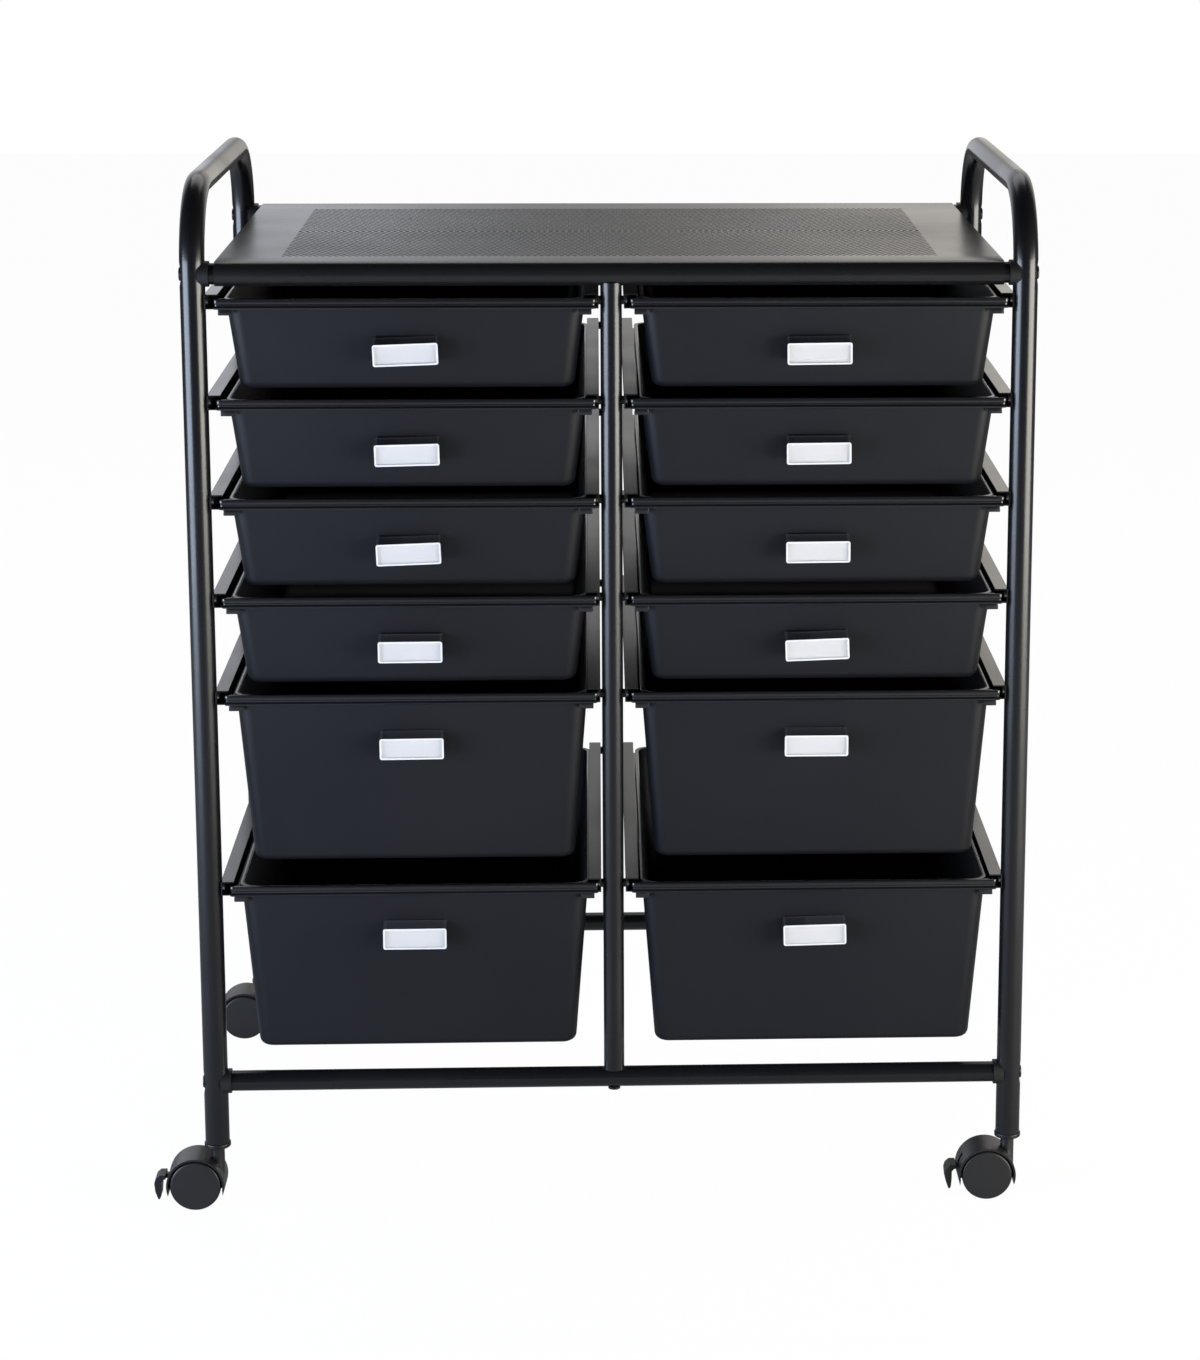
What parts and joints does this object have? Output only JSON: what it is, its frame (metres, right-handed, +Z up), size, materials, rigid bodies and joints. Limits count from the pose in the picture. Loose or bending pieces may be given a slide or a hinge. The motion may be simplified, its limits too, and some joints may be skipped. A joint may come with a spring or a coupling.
{
  "type": "rolling drawer cart",
  "caption": "Rolling storage cart: a bent tube frame with a sheet shelf on top, plastic drawers sliding in steel runners, label holders on the pulls, and swivel casters.",
  "frame": {"origin": "on the floor, under the middle of the outer box", "axes": "+Z up, -Y is the front that the drawers pull out of, +X is to the right seen from the front"},
  "size_m": [0.6864, 0.4028, 0.8135],
  "materials": {
    "tube_paint": "satin black powder coat",
    "shelf_paint": "satin black powder coat",
    "runner_paint": "semi-gloss black coating",
    "bolt_zinc": "zinc plated",
    "screw_zinc": "zinc plated",
    "pin_steel": "bright steel",
    "collar_plastic": "black moulded plastic",
    "spacer_plastic": "black moulded plastic",
    "socket_plastic": "black moulded plastic",
    "hood_plastic": "black moulded plastic, slightly shiny",
    "wheel_plastic": "black moulded plastic",
    "lever_plastic": "black moulded plastic",
    "drawer_plastic": "charcoal moulded plastic with a fine even texture",
    "label_holder": "clear holder over a plain white card"
  },
  "bodies": {
    "frame": {"side_frame_right": "tube_paint", "side_frame_left": "tube_paint", "top_front_crossbar": "tube_paint", "top_rear_crossbar": "tube_paint", "bottom_front_crossbar": "tube_paint", "bottom_rear_crossbar": "tube_paint", "centre_post_front": "tube_paint", "centre_post_rear": "tube_paint", "crossbar_collars": "collar_plastic", "frame_bolts": "bolt_zinc", "shelf_sheet": "shelf_paint", "runners_right_outer": "runner_paint", "runners_right_inner": "runner_paint", "runners_left_outer": "runner_paint", "runners_left_inner": "runner_paint", "runner_screws": "screw_zinc", "runner_spacers": "spacer_plastic", "caster_sockets": "socket_plastic"},
    "drawer_left_1": {"drawer_left_1": "drawer_plastic", "label_holder_left_1": "label_holder"},
    "drawer_right_1": {"drawer_right_1": "drawer_plastic", "label_holder_right_1": "label_holder"},
    "drawer_left_2": {"drawer_left_2": "drawer_plastic", "label_holder_left_2": "label_holder"},
    "drawer_right_2": {"drawer_right_2": "drawer_plastic", "label_holder_right_2": "label_holder"},
    "drawer_left_3": {"drawer_left_3": "drawer_plastic", "label_holder_left_3": "label_holder"},
    "drawer_right_3": {"drawer_right_3": "drawer_plastic", "label_holder_right_3": "label_holder"},
    "drawer_left_4": {"drawer_left_4": "drawer_plastic", "label_holder_left_4": "label_holder"},
    "drawer_right_4": {"drawer_right_4": "drawer_plastic", "label_holder_right_4": "label_holder"},
    "drawer_left_5": {"drawer_left_5": "drawer_plastic", "label_holder_left_5": "label_holder"},
    "drawer_right_5": {"drawer_right_5": "drawer_plastic", "label_holder_right_5": "label_holder"},
    "drawer_left_6": {"drawer_left_6": "drawer_plastic", "label_holder_left_6": "label_holder"},
    "drawer_right_6": {"drawer_right_6": "drawer_plastic", "label_holder_right_6": "label_holder"},
    "caster_front_left": {"caster_hood_front_left": "hood_plastic", "caster_pins_front_left": "pin_steel"},
    "wheel_front_left_a": {"wheel_front_left_a": "wheel_plastic"},
    "wheel_front_left_b": {"wheel_front_left_b": "wheel_plastic"},
    "brake_lever_left": {"brake_lever_left": "lever_plastic"},
    "caster_front_right": {"caster_hood_front_right": "hood_plastic", "caster_pins_front_right": "pin_steel"},
    "wheel_front_right_a": {"wheel_front_right_a": "wheel_plastic"},
    "wheel_front_right_b": {"wheel_front_right_b": "wheel_plastic"},
    "brake_lever_right": {"brake_lever_right": "lever_plastic"},
    "caster_rear_left": {"caster_hood_rear_left": "hood_plastic", "caster_pins_rear_left": "pin_steel"},
    "wheel_rear_left_a": {"wheel_rear_left_a": "wheel_plastic"},
    "wheel_rear_left_b": {"wheel_rear_left_b": "wheel_plastic"},
    "caster_rear_right": {"caster_hood_rear_right": "hood_plastic", "caster_pins_rear_right": "pin_steel"},
    "wheel_rear_right_a": {"wheel_rear_right_a": "wheel_plastic"},
    "wheel_rear_right_b": {"wheel_rear_right_b": "wheel_plastic"}
  },
  "joints": [
    {"name": "drawer_slide_left_1", "type": "slide", "parent": "frame", "child": "drawer_left_1", "axis": [0, -1, 0], "range_m": [0, 0.27]},
    {"name": "drawer_slide_right_1", "type": "slide", "parent": "frame", "child": "drawer_right_1", "axis": [0, -1, 0], "range_m": [0, 0.27]},
    {"name": "drawer_slide_left_2", "type": "slide", "parent": "frame", "child": "drawer_left_2", "axis": [0, -1, 0], "range_m": [0, 0.27]},
    {"name": "drawer_slide_right_2", "type": "slide", "parent": "frame", "child": "drawer_right_2", "axis": [0, -1, 0], "range_m": [0, 0.27]},
    {"name": "drawer_slide_left_3", "type": "slide", "parent": "frame", "child": "drawer_left_3", "axis": [0, -1, 0], "range_m": [0, 0.27]},
    {"name": "drawer_slide_right_3", "type": "slide", "parent": "frame", "child": "drawer_right_3", "axis": [0, -1, 0], "range_m": [0, 0.27]},
    {"name": "drawer_slide_left_4", "type": "slide", "parent": "frame", "child": "drawer_left_4", "axis": [0, -1, 0], "range_m": [0, 0.27]},
    {"name": "drawer_slide_right_4", "type": "slide", "parent": "frame", "child": "drawer_right_4", "axis": [0, -1, 0], "range_m": [0, 0.27]},
    {"name": "drawer_slide_left_5", "type": "slide", "parent": "frame", "child": "drawer_left_5", "axis": [0, -1, 0], "range_m": [0, 0.27]},
    {"name": "drawer_slide_right_5", "type": "slide", "parent": "frame", "child": "drawer_right_5", "axis": [0, -1, 0], "range_m": [0, 0.27]},
    {"name": "drawer_slide_left_6", "type": "slide", "parent": "frame", "child": "drawer_left_6", "axis": [0, -1, 0], "range_m": [0, 0.27]},
    {"name": "drawer_slide_right_6", "type": "slide", "parent": "frame", "child": "drawer_right_6", "axis": [0, -1, 0], "range_m": [0, 0.27]},
    {"name": "caster_swivel_front_left", "type": "hinge", "parent": "frame", "child": "caster_front_left", "pos_m": [-0.2932, -0.1845, 0.0484], "axis": [0, 0, 1], "continuous": true},
    {"name": "wheel_spin_front_left_a", "type": "hinge", "parent": "caster_front_left", "child": "wheel_front_left_a", "pos_m": [-0.3102, -0.1845, 0.02], "axis": [0, 1, 0], "continuous": true},
    {"name": "wheel_spin_front_left_b", "type": "hinge", "parent": "caster_front_left", "child": "wheel_front_left_b", "pos_m": [-0.3102, -0.1845, 0.02], "axis": [0, 1, 0], "continuous": true},
    {"name": "brake_left", "type": "hinge", "parent": "caster_front_left", "child": "brake_lever_left", "pos_m": [-0.32614, -0.1845, 0.02427], "axis": [0, 1, 0], "range_deg": [0, 25]},
    {"name": "caster_swivel_front_right", "type": "hinge", "parent": "frame", "child": "caster_front_right", "pos_m": [0.3328, -0.1845, 0.0484], "axis": [0, 0, 1], "continuous": true},
    {"name": "wheel_spin_front_right_a", "type": "hinge", "parent": "caster_front_right", "child": "wheel_front_right_a", "pos_m": [0.3158, -0.1845, 0.02], "axis": [0, 1, 0], "continuous": true},
    {"name": "wheel_spin_front_right_b", "type": "hinge", "parent": "caster_front_right", "child": "wheel_front_right_b", "pos_m": [0.3158, -0.1845, 0.02], "axis": [0, 1, 0], "continuous": true},
    {"name": "brake_right", "type": "hinge", "parent": "caster_front_right", "child": "brake_lever_right", "pos_m": [0.29986, -0.1845, 0.02427], "axis": [0, 1, 0], "range_deg": [0, 25]},
    {"name": "caster_swivel_rear_left", "type": "hinge", "parent": "frame", "child": "caster_rear_left", "pos_m": [-0.2932, 0.1865, 0.0484], "axis": [0, 0, 1], "continuous": true},
    {"name": "wheel_spin_rear_left_a", "type": "hinge", "parent": "caster_rear_left", "child": "wheel_rear_left_a", "pos_m": [-0.3102, 0.1865, 0.02], "axis": [0, 1, 0], "continuous": true},
    {"name": "wheel_spin_rear_left_b", "type": "hinge", "parent": "caster_rear_left", "child": "wheel_rear_left_b", "pos_m": [-0.3102, 0.1865, 0.02], "axis": [0, 1, 0], "continuous": true},
    {"name": "caster_swivel_rear_right", "type": "hinge", "parent": "frame", "child": "caster_rear_right", "pos_m": [0.3328, 0.1865, 0.0484], "axis": [0, 0, 1], "continuous": true},
    {"name": "wheel_spin_rear_right_a", "type": "hinge", "parent": "caster_rear_right", "child": "wheel_rear_right_a", "pos_m": [0.3158, 0.1865, 0.02], "axis": [0, 1, 0], "continuous": true},
    {"name": "wheel_spin_rear_right_b", "type": "hinge", "parent": "caster_rear_right", "child": "wheel_rear_right_b", "pos_m": [0.3158, 0.1865, 0.02], "axis": [0, 1, 0], "continuous": true}
  ]
}
